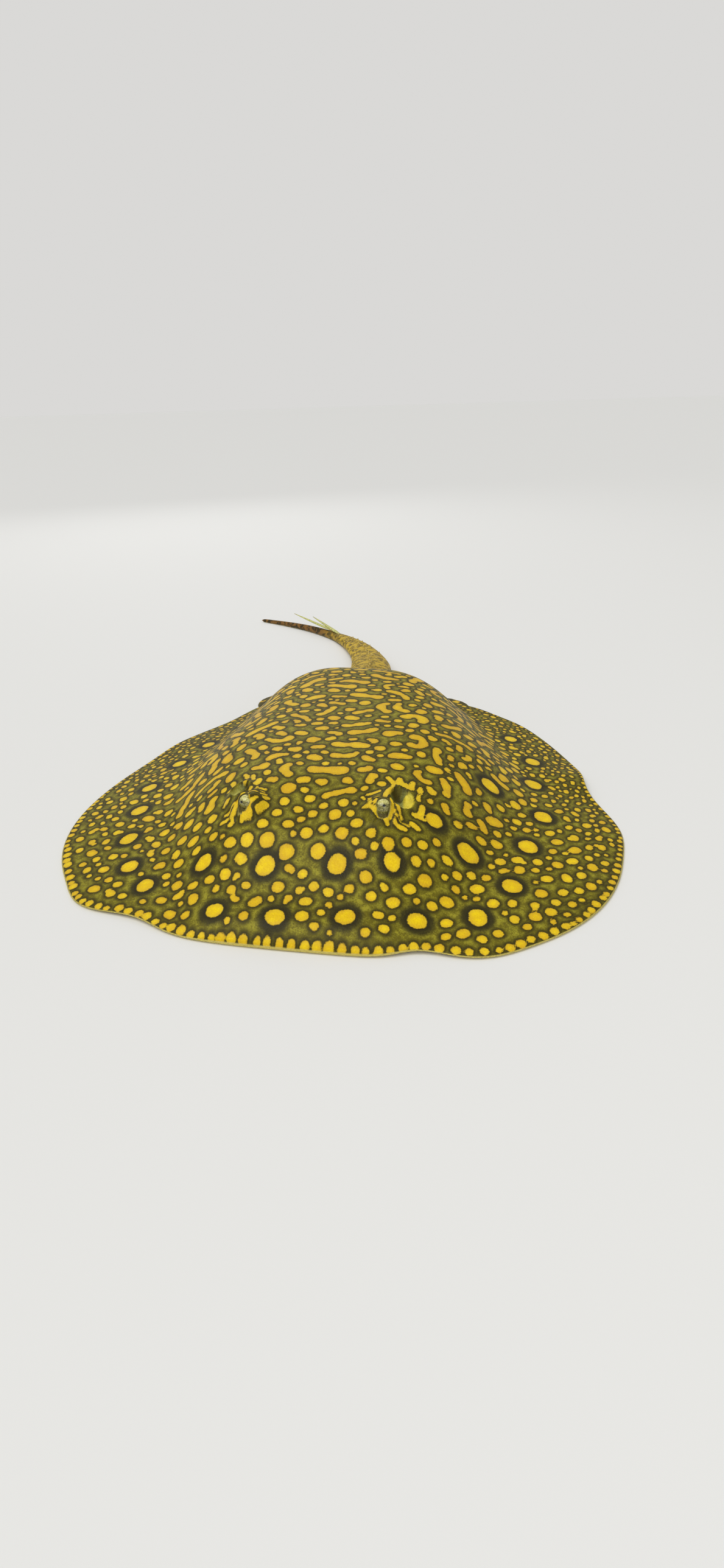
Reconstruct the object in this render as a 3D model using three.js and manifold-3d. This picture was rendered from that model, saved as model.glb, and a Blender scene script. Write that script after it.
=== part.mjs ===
// Freshwater stingray, adult, at life size: a still model that lies on its belly.
// Millimetres, +Z up, snout towards -Y, tail towards +Y.
// The origin is the middle of the disc on the resting plane.
import * as THREE from 'three';
import { mergeVertices } from 'three/addons/utils/BufferGeometryUtils.js';
import Module from 'manifold-3d';

const wasm = await Module();
wasm.setup();

// ---------------------------------------------------------------- driving dimensions
const DISC_WIDTH = 450;
const MEAN_RADIUS = 0.5156 * DISC_WIDTH;
const GAP = 0.3;                          // air between two pieces that meet
const RIM_THICKNESS = 2.2;                // edge of the disc
const WING_RISE = 22;                     // how much the flat wings thicken inwards
const HOLLOW = 1.6;                       // the underside arches this much off the floor
const HIP_SHIFT = 31;                     // the spine bends towards -X at the rear
const HEAD_SHIFT = -3.5;                  // the head sits this far off the middle line
const EYE_RADIUS = 7.6;
const EYE_SPAN = 101;                     // between the two eye centres
const EYE_Y = -121.5;
const EYE_Z = 54;
const SPIRACLE = { span: 123, y: -106, z: 53, wide: 17, long: 22, deep: 11, turn: 9 };
// Mounds of the head, each side: the first carries the eye, the second the spiracle.
const MOUNDS = [{ out: 46, y: -119, z: 45, radii: [13, 17, 14.5] },
                { out: 53, y: -104, z: 41, radii: [21, 24, 17.5] }];
const MOUTH = { y: -133, wide: 46, sag: 5, slit: 2.4, deep: 3 };
const GILLS = { count: 5, y: [-86, 2], span: [116, 84], long: 12, slit: 1.6, deep: 3 };
const PELVIC = { x: 62, y: 206, radius: 54, corner: 0.13, turn: 14, root: 5, edge: 1.2 };
const TAIL = { x: -20, y: 225, length: 440, headings: [4, 64], turned: 455 };
const TAIL_CUTS = [36, 132, 252, TAIL.length];
const STING = { long: [92, 96], wide: 6.4, thick: 3, along: [252, 278], heading: [39, 49],
                above: 11, lift: 5 };

// Half-waves of the disc's outline, in mm, round its mean radius (angle 0 is the snout).
const OUTLINE = { cos: [0, -1, 10.3, -16.4, -3.9, -1.3], sin: [0, -0.2, 1.8, -0.9, 1.6, -0.9] };
// Soft dents and swells of the margin: angle and spread in degrees, depth in mm.
const MARGIN_DENTS = [[-30, 7, -7], [-41, 6, 5], [21, 5, -6], [31, 6, 3], [95, 9, -8], [78, 7, 3],
                      [-134, 9, -7], [145, 7, -4], [163, 15, -12], [-163, 15, -12]];
// Where the margin lifts off the floor: angle and spread in degrees, height in mm.
const MARGIN_LIFTS = [[100, 8, 6], [-30, 7, 1.6], [21, 6, 1.6], [-112, 9, 3], [-150, 19, 5.2],
                      [150, 19, 5.2], [180, 16, 4]];
const LIFT_STARTS = 0.74;                 // share of the radius where the lift begins

// Stations along the body: y, height of the back, half-width of the thick trunk.
const BODY = [[-226, 2.2, 70], [-208, 13.5, 91], [-190, 18.5, 100], [-165, 31, 110],
              [-141, 46.3, 122], [-110, 56.4, 134], [-80, 62, 146], [0, 66, 163], [80, 65.8, 145],
              [150, 63.2, 131], [185, 55, 117], [215, 43, 98], [240, 31, 64], [262, 24, 42]];
const SHOULDER = [3.5, 2.2];              // how square and how steep the trunk's sides are
// Stations of the line where the fins part from the head and trunk: y, half-width.
const FIN_ROOT = [[-300, 46], [-190, 62], [-110, 84], [-40, 98], [60, 102], [150, 90], [205, 68],
                  [240, 52], [300, 52]];
const NECK_Y = -50;                       // the head parts from the trunk here
// Stations along the tail: distance from its root, width, height.
const TAIL_SIZE = [[0, 62, 34], [36, 54, 30], [90, 50, 25], [140, 42, 19], [200, 31, 15.5],
                   [245, 20, 13], [275, 12.5, 11], [330, 8.5, 9.5], [440, 3.2, 4.6]];

const COLOURS = { back: 0x5f5a2c, fin: 0x6a6430, tail: 0x8a7a2c, sting: 0xc3c56a, eye: 0x8f9468 };

// ---------------------------------------------------------------- helpers
const radians = THREE.MathUtils.degToRad;
const degrees = THREE.MathUtils.radToDeg;

/** Smooth value between stations [at, value, ...]; column picks the value. */
function along(stations, at, column = 1) {
  const last = stations.length - 1;
  if (at <= stations[0][0]) return stations[0][column];
  if (at >= stations[last][0]) return stations[last][column];
  let i = 0;
  while (stations[i + 1][0] < at) i += 1;
  const slope = (a, b) => (stations[b][column] - stations[a][column]) / (stations[b][0] - stations[a][0]);
  const bend = (k) => {
    if (k === 0 || k === last) return slope(Math.max(k - 1, 0), Math.min(k + 1, last));
    const [before, after] = [slope(k - 1, k), slope(k, k + 1)];
    return before * after <= 0 ? 0 : (2 * before * after) / (before + after);
  };
  const span = stations[i + 1][0] - stations[i][0];
  const t = (at - stations[i][0]) / span;
  const [t2, t3] = [t * t, t * t * t];
  return (2 * t3 - 3 * t2 + 1) * stations[i][column] + (t3 - 2 * t2 + t) * span * bend(i)
    + (3 * t2 - 2 * t3) * stations[i + 1][column] + (t3 - t2) * span * bend(i + 1);
}

/** Sum of soft bumps round the disc at an angle in degrees. */
function bumps(list, angle) {
  return list.reduce((sum, [at, spread, size]) => {
    const away = ((angle - at + 540) % 360) - 180;
    return sum + size * Math.exp(-((away / spread) ** 2));
  }, 0);
}

const clamp01 = (v) => Math.min(Math.max(v, 0), 1);
const smooth = (v) => clamp01(v) ** 2 * (3 - 2 * clamp01(v));

function solid(geometry) {
  const bare = geometry.clone();
  bare.deleteAttribute('normal');
  bare.deleteAttribute('uv');
  const merged = mergeVertices(bare, 1e-4);
  return new wasm.Manifold(new wasm.Mesh({
    numProp: 3,
    vertProperties: new Float32Array(merged.attributes.position.array),
    triVerts: new Uint32Array(merged.index.array),
  }));
}

function geometryOf(manifold) {
  const mesh = manifold.getMesh();
  const geometry = new THREE.BufferGeometry();
  geometry.setAttribute('position', new THREE.BufferAttribute(new Float32Array(mesh.vertProperties), 3));
  geometry.setIndex(new THREE.BufferAttribute(new Uint32Array(mesh.triVerts), 1));
  return geometry;
}

/** Moves every vertex of a geometry by a function of its place. */
function reshape(geometry, move) {
  const position = geometry.attributes.position;
  const point = new THREE.Vector3();
  for (let i = 0; i < position.count; i += 1) {
    point.fromBufferAttribute(position, i);
    move(point);
    position.setXYZ(i, point.x, point.y, point.z);
  }
  return geometry;
}

function ball(x, y, z, radii, segments, turn = 0) {
  return new THREE.SphereGeometry(1, ...segments).rotateX(Math.PI / 2).scale(...radii)
    .rotateZ(radians(turn)).translate(x, y, z);
}

// ---------------------------------------------------------------- the disc
function discRadius(theta) {
  let radius = MEAN_RADIUS;
  for (let k = 1; k < OUTLINE.cos.length; k += 1) {
    radius += OUTLINE.cos[k] * Math.cos(k * theta) + OUTLINE.sin[k] * Math.sin(k * theta);
  }
  return radius + bumps(MARGIN_DENTS, degrees(theta));
}

const spineX = (y) => -HIP_SHIFT * (Math.max(y, 0) / 250) ** 1.3;

function marginLift(theta, share) {
  const rise = clamp01((share - LIFT_STARTS) / (1 - LIFT_STARTS));
  return rise ** 1.6 * bumps(MARGIN_LIFTS, degrees(theta));
}

function backHeight(x, y, theta, share) {
  const wing = RIM_THICKNESS + WING_RISE * (1 - share ** 2);
  const across = Math.min(Math.abs(x - spineX(y)) / along(BODY, y, 2), 1);
  const [square, steep] = SHOULDER;
  const hump = (1 - across ** square) ** steep * Math.max(along(BODY, y) - wing, 0);
  return wing + hump + marginLift(theta, share);
}

function bellyHeight(theta, share) {
  const arch = smooth((share - 0.34) / 0.2) * smooth((0.88 - share) / 0.12);
  return HOLLOW * arch + marginLift(theta, share);
}

function disc() {
  const geometry = new THREE.SphereGeometry(1, 76, 26).rotateX(Math.PI / 2);
  return solid(reshape(geometry, (p) => {
    const share = Math.min(Math.hypot(p.x, p.y), 1);
    const theta = Math.atan2(p.x, -p.y);
    const side = p.z;
    p.x = share * discRadius(theta) * Math.sin(theta);
    p.y = -share * discRadius(theta) * Math.cos(theta);
    const [low, high] = [bellyHeight(theta, share), backHeight(p.x, p.y, theta, share)];
    p.z = Math.abs(side) < 1e-6 ? (low + high) / 2 : side > 0 ? high : low;
  }));
}

// ---------------------------------------------------------------- the head's features
const sides = { right: -1, left: 1 };      // the animal's own right is at -X

const eyeX = (side) => HEAD_SHIFT + (side * EYE_SPAN) / 2;

function brow(side) {
  return wasm.Manifold.union(MOUNDS.map(({ out, y, z, radii }) => solid(
    ball(HEAD_SHIFT + side * out, y, z, radii, [14, 10]))));
}

function spiracle(side) {
  const { span, y, z, wide, long, deep, turn } = SPIRACLE;
  const x = HEAD_SHIFT + (side * span) / 2;
  return solid(ball(x, y, z, [wide / 2, long / 2, deep], [12, 8], side * turn));
}

function mouth() {
  const { y, wide, sag, slit, deep } = MOUTH;
  const shape = new THREE.Shape();
  const [half, x] = [wide / 2, HEAD_SHIFT];
  shape.moveTo(x - half, y - sag);
  shape.quadraticCurveTo(x, y + sag, x + half, y - sag);
  shape.quadraticCurveTo(x, y + sag + 2 * slit, x - half, y - sag);
  const body = new THREE.ExtrudeGeometry(shape, { depth: 6, bevelEnabled: false, curveSegments: 6 });
  return solid(body.translate(0, 0, HOLLOW + deep - 6));
}

function gillSlits() {
  const { count, y, span, long, slit, deep } = GILLS;
  const slits = [];
  for (let i = 0; i < count; i += 1) {
    const t = i / (count - 1);
    for (const side of Object.values(sides)) {
      const half = THREE.MathUtils.lerp(span[0], span[1], t) / 2;
      slits.push(solid(new THREE.BoxGeometry(long, slit, 6).rotateZ(radians(side * (24 - 34 * t)))
        .translate(HEAD_SHIFT + side * half, THREE.MathUtils.lerp(y[0], y[1], t), HOLLOW + deep - 3)));
    }
  }
  return wasm.Manifold.union(slits);
}

// ---------------------------------------------------------------- pelvic fins
function pelvicFin(side, spare = 0) {
  const { x, y, radius, corner, turn, root, edge } = PELVIC;
  const centreX = spineX(y) + side * x;
  return solid(reshape(new THREE.SphereGeometry(1, 24, 8).rotateX(Math.PI / 2), (p) => {
    const share = Math.min(Math.hypot(p.x, p.y), 1);
    const angle = Math.atan2(p.y, side * p.x);
    const reach = radius * (1 + corner * Math.cos(3 * (angle - radians(turn)))) + spare;
    const top = edge + (root - edge) * (1 - share ** 2) + spare;
    const level = p.z > 1e-6 ? top : p.z < -1e-6 ? -3 * spare : edge / 2;
    p.set(centreX + p.x * reach, y + p.y * reach, level);
  }));
}

// ---------------------------------------------------------------- tail and stings
const tailHeading = (s) => radians(THREE.MathUtils.lerp(...TAIL.headings, smooth(s / TAIL.turned)));

/** The point of the tail's middle line at a distance from its root, on the floor. */
function tailPoint(distance) {
  const step = 4;
  const point = new THREE.Vector3(TAIL.x, TAIL.y, 0);
  for (let s = 0; s < distance - 1e-9; s += step) {
    const part = Math.min(step, distance - s);
    const heading = tailHeading(s + part / 2);
    point.x -= part * Math.sin(heading);
    point.y += part * Math.cos(heading);
  }
  return point;
}

function tailLength(from, to) {
  const steps = Math.max(Math.round((to - from) / 16), 2);
  const geometry = new THREE.CylinderGeometry(1, 1, 1, 12, steps).rotateX(Math.PI / 2);
  return solid(reshape(geometry, (p) => {
    const s = from + (p.z + 0.5) * (to - from);
    const centre = tailPoint(s);
    const heading = tailHeading(s);
    const [width, height] = [along(TAIL_SIZE, s), along(TAIL_SIZE, s, 2)];
    const out = (-p.x * width) / 2;
    const level = Math.max(height * (0.46 + 0.54 * p.y), 0);
    p.set(centre.x + out * Math.cos(heading), centre.y + out * Math.sin(heading), level);
  }));
}

function sting(index, spare = 0) {
  const [long, from] = [STING.long[index], STING.along[index]];
  const start = tailPoint(from);
  const heading = radians(STING.heading[index]);
  const geometry = new THREE.CylinderGeometry(1, 1, 1, 8, 6).rotateX(Math.PI / 2);
  return solid(reshape(geometry, (p) => {
    const t = p.z + 0.5;
    const taper = Math.min(1, 0.55 + 2 * t) * (1 - 0.82 * t ** 2.4);
    const out = -p.x * ((STING.wide * taper) / 2 + spare);
    const run = long * t + (2 * t - 1) * spare;
    const level = STING.above + index * 1.2 + Math.tan(radians(STING.lift)) * run
      + p.y * ((STING.thick * taper) / 2 + spare);
    p.set(start.x - run * Math.sin(heading) + out * Math.cos(heading),
      start.y + run * Math.cos(heading) + out * Math.sin(heading), level);
  }));
}

// ---------------------------------------------------------------- thin cuts
/** A tall prism over the strip between two edges, each a function of y. */
function strip(leftEdge, rightEdge, fromY, toY) {
  const step = 55;
  const ys = [];
  for (let y = fromY; y < toY - 1; y += step) ys.push(y);
  ys.push(toY);
  const shape = new THREE.Shape();
  ys.forEach((y, i) => (i ? shape.lineTo(rightEdge(y), y) : shape.moveTo(rightEdge(y), y)));
  ys.reverse().forEach((y) => shape.lineTo(leftEdge(y), y));
  const prism = new THREE.ExtrudeGeometry(shape, { depth: 140, bevelEnabled: false });
  return solid(prism.translate(0, 0, -30));
}

const FAR = 330;
const finRoot = (side, spare) => (y) => spineX(y) + side * (along(FIN_ROOT, y) + spare);

function flesh() {
  const pelvics = Object.values(sides).map((side) => pelvicFin(side, GAP));
  let whole = wasm.Manifold.union([disc(), tailLength(0, TAIL_CUTS[0]), brow(-1), brow(1)]);
  const sockets = Object.values(sides).map((side) => solid(
    ball(eyeX(side), EYE_Y, EYE_Z, Array(3).fill(EYE_RADIUS + GAP), [12, 8])));
  for (const tool of [...pelvics, ...sockets, spiracle(-1), spiracle(1), mouth(), gillSlits()]) {
    whole = whole.subtract(tool);
  }
  const middle = whole.intersect(strip(finRoot(-1, -GAP / 2), finRoot(1, -GAP / 2), -FAR, FAR));
  const across = (fromY, toY) => strip(() => -FAR, () => FAR, fromY, toY);
  return {
    head: middle.intersect(across(-FAR, NECK_Y - GAP / 2)),
    trunk: middle.intersect(across(NECK_Y + GAP / 2, FAR)),
    pectoral_fin_right: whole.intersect(strip(() => -FAR, finRoot(-1, GAP / 2), -FAR, FAR)),
    pectoral_fin_left: whole.intersect(strip(finRoot(1, GAP / 2), () => FAR, -FAR, FAR)),
  };
}

// ---------------------------------------------------------------- assembly
const stingray = new THREE.Group();

function place(name, manifold, colour, roughness = 0.5) {
  const material = new THREE.MeshStandardMaterial({ color: colour, roughness, metalness: 0 });
  const mesh = new THREE.Mesh(geometryOf(manifold), material);
  mesh.name = name;
  stingray.add(mesh);
}

for (const [name, piece] of Object.entries(flesh())) {
  place(name, piece, name.startsWith('pectoral') ? COLOURS.fin : COLOURS.back);
}
for (const [name, side] of Object.entries(sides)) {
  place(`pelvic_fin_${name}`, pelvicFin(side), COLOURS.fin);
  place(`eye_${name}`, solid(ball(eyeX(side), EYE_Y, EYE_Z, Array(3).fill(EYE_RADIUS), [12, 8])),
    COLOURS.eye, 0.15);
}
const tailNames = ['tail_base', 'tail_middle', 'tail_tip'];
tailNames.forEach((name, i) => {
  let piece = tailLength(TAIL_CUTS[i] + GAP, TAIL_CUTS[i + 1]);
  for (const index of [0, 1]) piece = piece.subtract(sting(index, GAP));
  place(name, piece, COLOURS.tail);
});
place('sting_front', sting(0), COLOURS.sting, 0.35);
place('sting_rear', sting(1).subtract(sting(0, GAP)), COLOURS.sting, 0.35);

export default stingray;
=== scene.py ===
"""Freshwater stingray, life size: the finished skin, eyes, stings and thorns over the solids."""
import math

import bmesh
import bpy
import numpy as np
from mathutils import Matrix, Vector


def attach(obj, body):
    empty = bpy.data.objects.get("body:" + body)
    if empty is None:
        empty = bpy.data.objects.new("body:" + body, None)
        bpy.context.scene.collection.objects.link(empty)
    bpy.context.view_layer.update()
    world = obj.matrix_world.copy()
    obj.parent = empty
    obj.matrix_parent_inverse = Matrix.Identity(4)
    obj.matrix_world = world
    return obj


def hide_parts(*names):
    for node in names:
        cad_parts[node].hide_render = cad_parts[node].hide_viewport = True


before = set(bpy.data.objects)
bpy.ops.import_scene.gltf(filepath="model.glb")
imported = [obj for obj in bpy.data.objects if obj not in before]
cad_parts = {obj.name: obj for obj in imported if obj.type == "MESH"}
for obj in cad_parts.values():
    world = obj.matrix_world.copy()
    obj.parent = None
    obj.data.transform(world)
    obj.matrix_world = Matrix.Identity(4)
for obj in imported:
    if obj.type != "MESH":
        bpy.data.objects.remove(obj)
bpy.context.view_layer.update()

MM = 0.001                     # the shape functions work in millimetres
SEED = 41

# ---- the animal's sizes, in mm
DISC_WIDTH = 450
MEAN_RADIUS = 0.5156 * DISC_WIDTH
RIM_THICKNESS = 2.2
WING_RISE = 22                 # the plain wings, above the rim
HOLLOW = 1.6                   # the arch of the underside, off the floor
HIP_SHIFT = 31
HEAD_SHIFT = -3.5
EYE_SPAN = 101
EYE_Y = -121.5
EYE_Z = 54
FOREHEAD_DIP = 2.0
# Each finished eyeball, inside its solid: radius and shift outwards, backwards, upwards.
BALLS = {1: {"radius": 6.2, "out": -0.6, "back": -0.8, "up": 1.2},
         -1: {"radius": 5.8, "out": -0.9, "back": -2.4, "up": 0.5}}
# Each eye: the part that the lids leave bare (outwards, backwards, half-sizes) and the way it looks.
EYES = {1: {"out": 0.1, "back": -3.2, "wide": 4.3, "long": 5.4, "gaze": (0.22, -0.74, 0.63)},
        -1: {"out": 1.1, "back": -4.8, "wide": 3.5, "long": 5.2, "gaze": (-0.42, -0.80, 0.42)}}
FRONT_LEVEL = 51.3             # the skin just in front of the eyes
# Lids: thickness over the ball, fall towards the front, and heights of their swelling, edge, wrinkles.
LIDS = {"thick": 0.8, "fall": 3.8, "swelling": 1.5, "edge": 0.35, "wrinkle": 0.30}
# Each spiracle: its place from the head's middle, its size, and how far its valve stands up.
SPIRACLES = {1: {"x": 61.5, "y": -106, "wide": 17, "long": 22, "deep": 10, "turn": 9, "valve": 10.4},
             -1: {"x": 60.0, "y": -106, "wide": 13, "long": 18, "deep": 8, "turn": 9, "valve": 4.0}}
# A spiracle's raised lip, the crease outside it and the lobe of its inner wall.
LIP = {"height": 0.9, "crease": 0.5, "lobe": 4.2}
# Mounds of the head, each side: outwards, y, height, radii. One carries the eye, one the spiracle.
MOUNDS = [(46, -119, 45, (13, 17, 14.5)), (53, -104, 41, (21, 24, 17.5))]
MOUTH = {"y": -133, "wide": 46, "sag": 5}
GILLS = {"count": 5, "y": (-86, 2), "span": (116, 84), "long": 12, "turn": (24, -10)}
SLIT_DEPTH = 2.6
VENT_Y = 186
PELVIC = {"x": 62, "y": 206, "radius": 54, "corner": 0.13, "turn": 14, "root": 5, "edge": 1.2}
TAIL = {"x": -20, "y": 225, "length": 440, "headings": (4, 64), "turned": 455}
TAIL_ROOT = 36                 # the tail leaves the trunk here, along its own length
TAIL_AXIS = 0.46               # share of the tail's height below its middle line
THORN_ROOT = 0.5               # a thorn's foot, under the skin
STING = {"long": (92, 96), "wide": 6.4, "thick": 3, "along": (252, 278), "heading": (39, 49),
         "above": 11, "lift": 5}

OUTLINE = {"cos": (0, -1, 10.3, -16.4, -3.9, -1.3), "sin": (0, -0.2, 1.8, -0.9, 1.6, -0.9)}
MARGIN_DENTS = [(-30, 7, -7), (-41, 6, 5), (21, 5, -6), (31, 6, 3), (95, 9, -8), (78, 7, 3),
                (-134, 9, -7), (145, 7, -4), (163, 15, -12), (-163, 15, -12)]
MARGIN_LIFTS = [(100, 8, 6), (-30, 7, 1.6), (21, 6, 1.6), (-112, 9, 3), (-150, 19, 5.2),
                (150, 19, 5.2), (180, 16, 4)]
LIFT_STARTS = 0.74
EDGE_ROUNDING = 14             # how far in from the rim the back is rolled off
# y, height of the back, half-width of the thick trunk
BODY = [(-226, 2.2, 70), (-208, 13.5, 91), (-190, 18.5, 100), (-165, 31, 110), (-141, 46.3, 122),
        (-110, 56.4, 134), (-80, 62, 146), (0, 66, 163), (80, 65.8, 145), (150, 63.2, 131),
        (185, 55, 117), (215, 43, 98), (240, 31, 64), (262, 24, 42)]
SHOULDER = (3.5, 2.2)          # how square and how steep the trunk's sides are
# distance along the tail, width, height
TAIL_SIZE = [(0, 62, 34), (36, 54, 30), (90, 50, 25), (140, 42, 19), (200, 31, 15.5),
             (245, 20, 13), (275, 12.5, 11), (330, 8.5, 9.5), (440, 3.2, 4.6)]

# mesh cells across the back and the belly
BACK_CELLS = 276
BELLY_CELLS = 124
HALF_CELL = 0.058              # half a cell by an eye, as a share of the lids' opening
BELLY_REACH = 0.985            # share of the radius where the underside begins
# places that need finer cells: middle, reach and pull; on the back once for each side
FINER_BACK = [((55, -112), 40, 0.5), ((EYE_SPAN / 2 + 1, EYE_Y - 2), 13, 0.45)]
FINER_BELLY = [((HEAD_SHIFT, -140), 34, 0.58), ((46, -42), 46, 0.5), ((-53, -42), 46, 0.5)]

# ---- shape functions


def along(stations, at, column=1):
    """Smooth value between stations, at every place of an array."""
    table = np.array(stations, float)
    xs, ys = table[:, 0], table[:, column]
    slopes = np.diff(ys) / np.diff(xs)
    bends = np.zeros(len(xs))
    bends[0], bends[-1] = slopes[0], slopes[-1]
    before, after = slopes[:-1], slopes[1:]
    level = before * after > 0
    bends[1:-1][level] = (2 * before * after)[level] / (before + after)[level]
    at = np.clip(at, xs[0], xs[-1])
    i = np.clip(np.searchsorted(xs, at, side="right") - 1, 0, len(xs) - 2)
    span = xs[i + 1] - xs[i]
    t = (at - xs[i]) / span
    return ((2 * t**3 - 3 * t**2 + 1) * ys[i] + (t**3 - 2 * t**2 + t) * span * bends[i]
            + (3 * t**2 - 2 * t**3) * ys[i + 1] + (t**3 - t**2) * span * bends[i + 1])


def bumps(listed, angle):
    """Sum of soft bumps round the disc; angle in degrees."""
    total = np.zeros_like(angle, float)
    for at, spread, size in listed:
        away = (angle - at + 540) % 360 - 180
        total += size * bell(away / spread)
    return total


def smooth(v):
    """An eased step from nought to one."""
    v = np.clip(v, 0, 1)
    return v * v * (3 - 2 * v)


def bell(*ratios):
    """One where every ratio is nought, falling to nothing past one."""
    return np.exp(-sum(ratio**2 for ratio in ratios))


def between(pair, share):
    """The first of a pair at nought, the second at one."""
    return pair[0] + (pair[1] - pair[0]) * share


def moved(x, y, heading, out, ahead=0):
    """A place moved outwards and ahead, the heading turned from +Y."""
    return (x + out * np.cos(heading) - ahead * np.sin(heading),
            y + out * np.sin(heading) + ahead * np.cos(heading))


def ball_height(radius, away):
    """A ball's surface above its middle, at a distance from its axis."""
    return np.sqrt(np.maximum(radius**2 - away**2, 0))


def smooth_max(a, b, blend):
    """The higher of two surfaces, with a fillet of about the blend's size."""
    h = np.clip(0.5 + 0.5 * (a - b) / blend, 0, 1)
    return b + (a - b) * h + blend * h * (1 - h)


def disc_radius(theta):
    """From the middle to the rim, at an angle from the snout."""
    radius = MEAN_RADIUS + bumps(MARGIN_DENTS, np.degrees(theta))
    for k in range(1, len(OUTLINE["cos"])):
        radius += OUTLINE["cos"][k] * np.cos(k * theta) + OUTLINE["sin"][k] * np.sin(k * theta)
    return radius


def polar(x, y):
    """Angle from the snout and share of the disc's radius."""
    theta = np.arctan2(x, -y)
    return theta, np.hypot(x, y) / disc_radius(theta)


def spine_x(y):
    """The middle of the back, which bends at the hips."""
    return -HIP_SHIFT * (np.maximum(y, 0) / 250) ** 1.3


def margin_lift(theta, share):
    """How far the outer disc stands off the floor."""
    rise = np.clip((share - LIFT_STARTS) / (1 - LIFT_STARTS), 0, 1)
    return rise**1.6 * bumps(MARGIN_LIFTS, np.degrees(theta))


def trunk_height(x, y):
    """The plain back: flat wings with the thick trunk on them."""
    theta, share = polar(x, y)
    share = np.minimum(share, 1)
    wing = RIM_THICKNESS + WING_RISE * (1 - share**2)
    across = np.minimum(np.abs(x - spine_x(y)) / along(BODY, y, 2), 1)
    hump = (1 - across ** SHOULDER[0]) ** SHOULDER[1] * np.maximum(along(BODY, y) - wing, 0)
    near_edge = np.clip((1 - share) * disc_radius(theta) / EDGE_ROUNDING, 0, 1)
    rounding = np.sqrt(1 - (1 - near_edge) ** 2)
    return RIM_THICKNESS + (wing + hump - RIM_THICKNESS) * rounding + margin_lift(theta, share)


def eye_x(side):
    return HEAD_SHIFT + side * EYE_SPAN / 2


def spiracle_place(x, y, side):
    """Coordinates in the spiracle, one at its rim: outwards, backwards."""
    hole = SPIRACLES[side]
    turn = math.radians(side * hole["turn"])
    dx = x - (HEAD_SHIFT + side * hole["x"])
    dy = y - hole["y"]
    out = side * (dx * math.cos(turn) + dy * math.sin(turn)) / (hole["wide"] / 2)
    back = (dy * math.cos(turn) - dx * math.sin(turn)) / (hole["long"] / 2)
    return out, back


def eye_place(x, y, side):
    """Millimetres outwards and backwards from the middle of an eye."""
    return side * (x - eye_x(side)), y - EYE_Y


def opening_ring(out, back, side):
    """One on the edge of the lids' opening, less inside it."""
    eye = EYES[side]
    return np.hypot((out - eye["out"]) / eye["wide"], (back - eye["back"]) / eye["long"])


def lay_lids(z, x, y, side):
    """Skin round the eyeball: closed over it, open towards the side and the front."""
    out, back = eye_place(x, y, side)
    ring = opening_ring(out, back, side)
    ball = BALLS[side]
    near = np.hypot(out - ball["out"], back - ball["back"])
    middle = EYE_Z + ball["up"]
    # the upper lid swells over the inner half of the eyeball
    z = z + LIDS["swelling"] * bell((out + 4.5) / 3.4, (back - 1.5) / 7)
    # a fold between the eye and the spiracle
    crest = 7.6 + 0.12 * (back + 7)
    fold = EYE_Z + 0.9 - ((out - crest) / 1.7) ** 2 - 2.6 * ((back - 2) / 7) ** 2
    z = smooth_max(fold, z, 1.4)
    # the skin drops away in front of the eyeball
    front = bell(((out - EYES[side]["out"]) / 5.5) ** 2) * smooth((-5.0 - back) / 2.5)
    z = z - front * np.maximum(z - FRONT_LEVEL - 0.15 * (back + 9), 0)
    # the lids lie on the ball and come down at its front
    outer = ball["radius"] + LIDS["thick"]
    cover = middle + ball_height(outer, near) - 3 * np.maximum(near - outer, 0)
    cover = cover - LIDS["fall"] * smooth((-3.6 - back) / 4.2)
    z = np.where(ring > 1, np.maximum(z, cover), z)
    # a raised edge, and wrinkles round it
    z = z + LIDS["edge"] * bell((ring - 1.18) / 0.17)
    z = z + LIDS["wrinkle"] * np.cos(math.tau * (ring - 1.14) / 0.30) * bell((ring - 1.6) / 0.4)
    hidden = middle - 4 + ball_height(ball["radius"], near)
    return np.where(ring < 1, np.minimum(z, hidden), z)


def sink_spiracle(z, x, y, side):
    """A raised creased lip, steep walls and a pale valve inside."""
    out, back = spiracle_place(x, y, side)
    rim = np.hypot(out, back)
    clock = np.arctan2(back, out)
    crease = 1 + 0.35 * np.cos(7 * clock + 1.0)
    z = z + LIP["height"] * bell((rim - 1.15) / 0.12) * crease
    z = z + LIP["crease"] * bell((rim - 1.5) / 0.12) * smooth(-np.sin(clock) * 1.5) * crease
    swell = (np.abs((out - 0.58) / 0.50) ** 3 + np.abs((back + 0.05) / 0.74) ** 3) ** 1.2
    valve = SPIRACLES[side]["valve"] * np.exp(-swell)
    lobe = LIP["lobe"] * bell((out + 0.35) / 0.22, (back + 0.35) / 0.4)
    return z - (SPIRACLES[side]["deep"] - valve - lobe) * smooth((1.05 - rim) / 0.28)


def back_height(x, y):
    """The whole back with the head's features."""
    z = trunk_height(x, y)
    for side in (-1, 1):
        for out, mound_y, level, radii in MOUNDS:
            ring = np.hypot((x - HEAD_SHIFT - side * out) / radii[0], (y - mound_y) / radii[1])
            dome = level + radii[2] * ball_height(1, ring) - 30 * np.maximum(ring - 1, 0)
            z = smooth_max(dome, z, 3.5)
        z = sink_spiracle(z, x, y, side)
        z = lay_lids(z, x, y, side)
    # the forehead sinks a little between the eyes
    return z - FOREHEAD_DIP * bell((x - HEAD_SHIFT) / 24, (y - EYE_Y) / 34)


def plain_belly(x, y):
    """The underside: flat where it rests, arched between."""
    theta, share = polar(x, y)
    share = np.minimum(share, 1)
    arch = smooth((share - 0.34) / 0.2) * smooth((0.88 - share) / 0.12)
    return HOLLOW * arch + margin_lift(theta, share)


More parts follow.
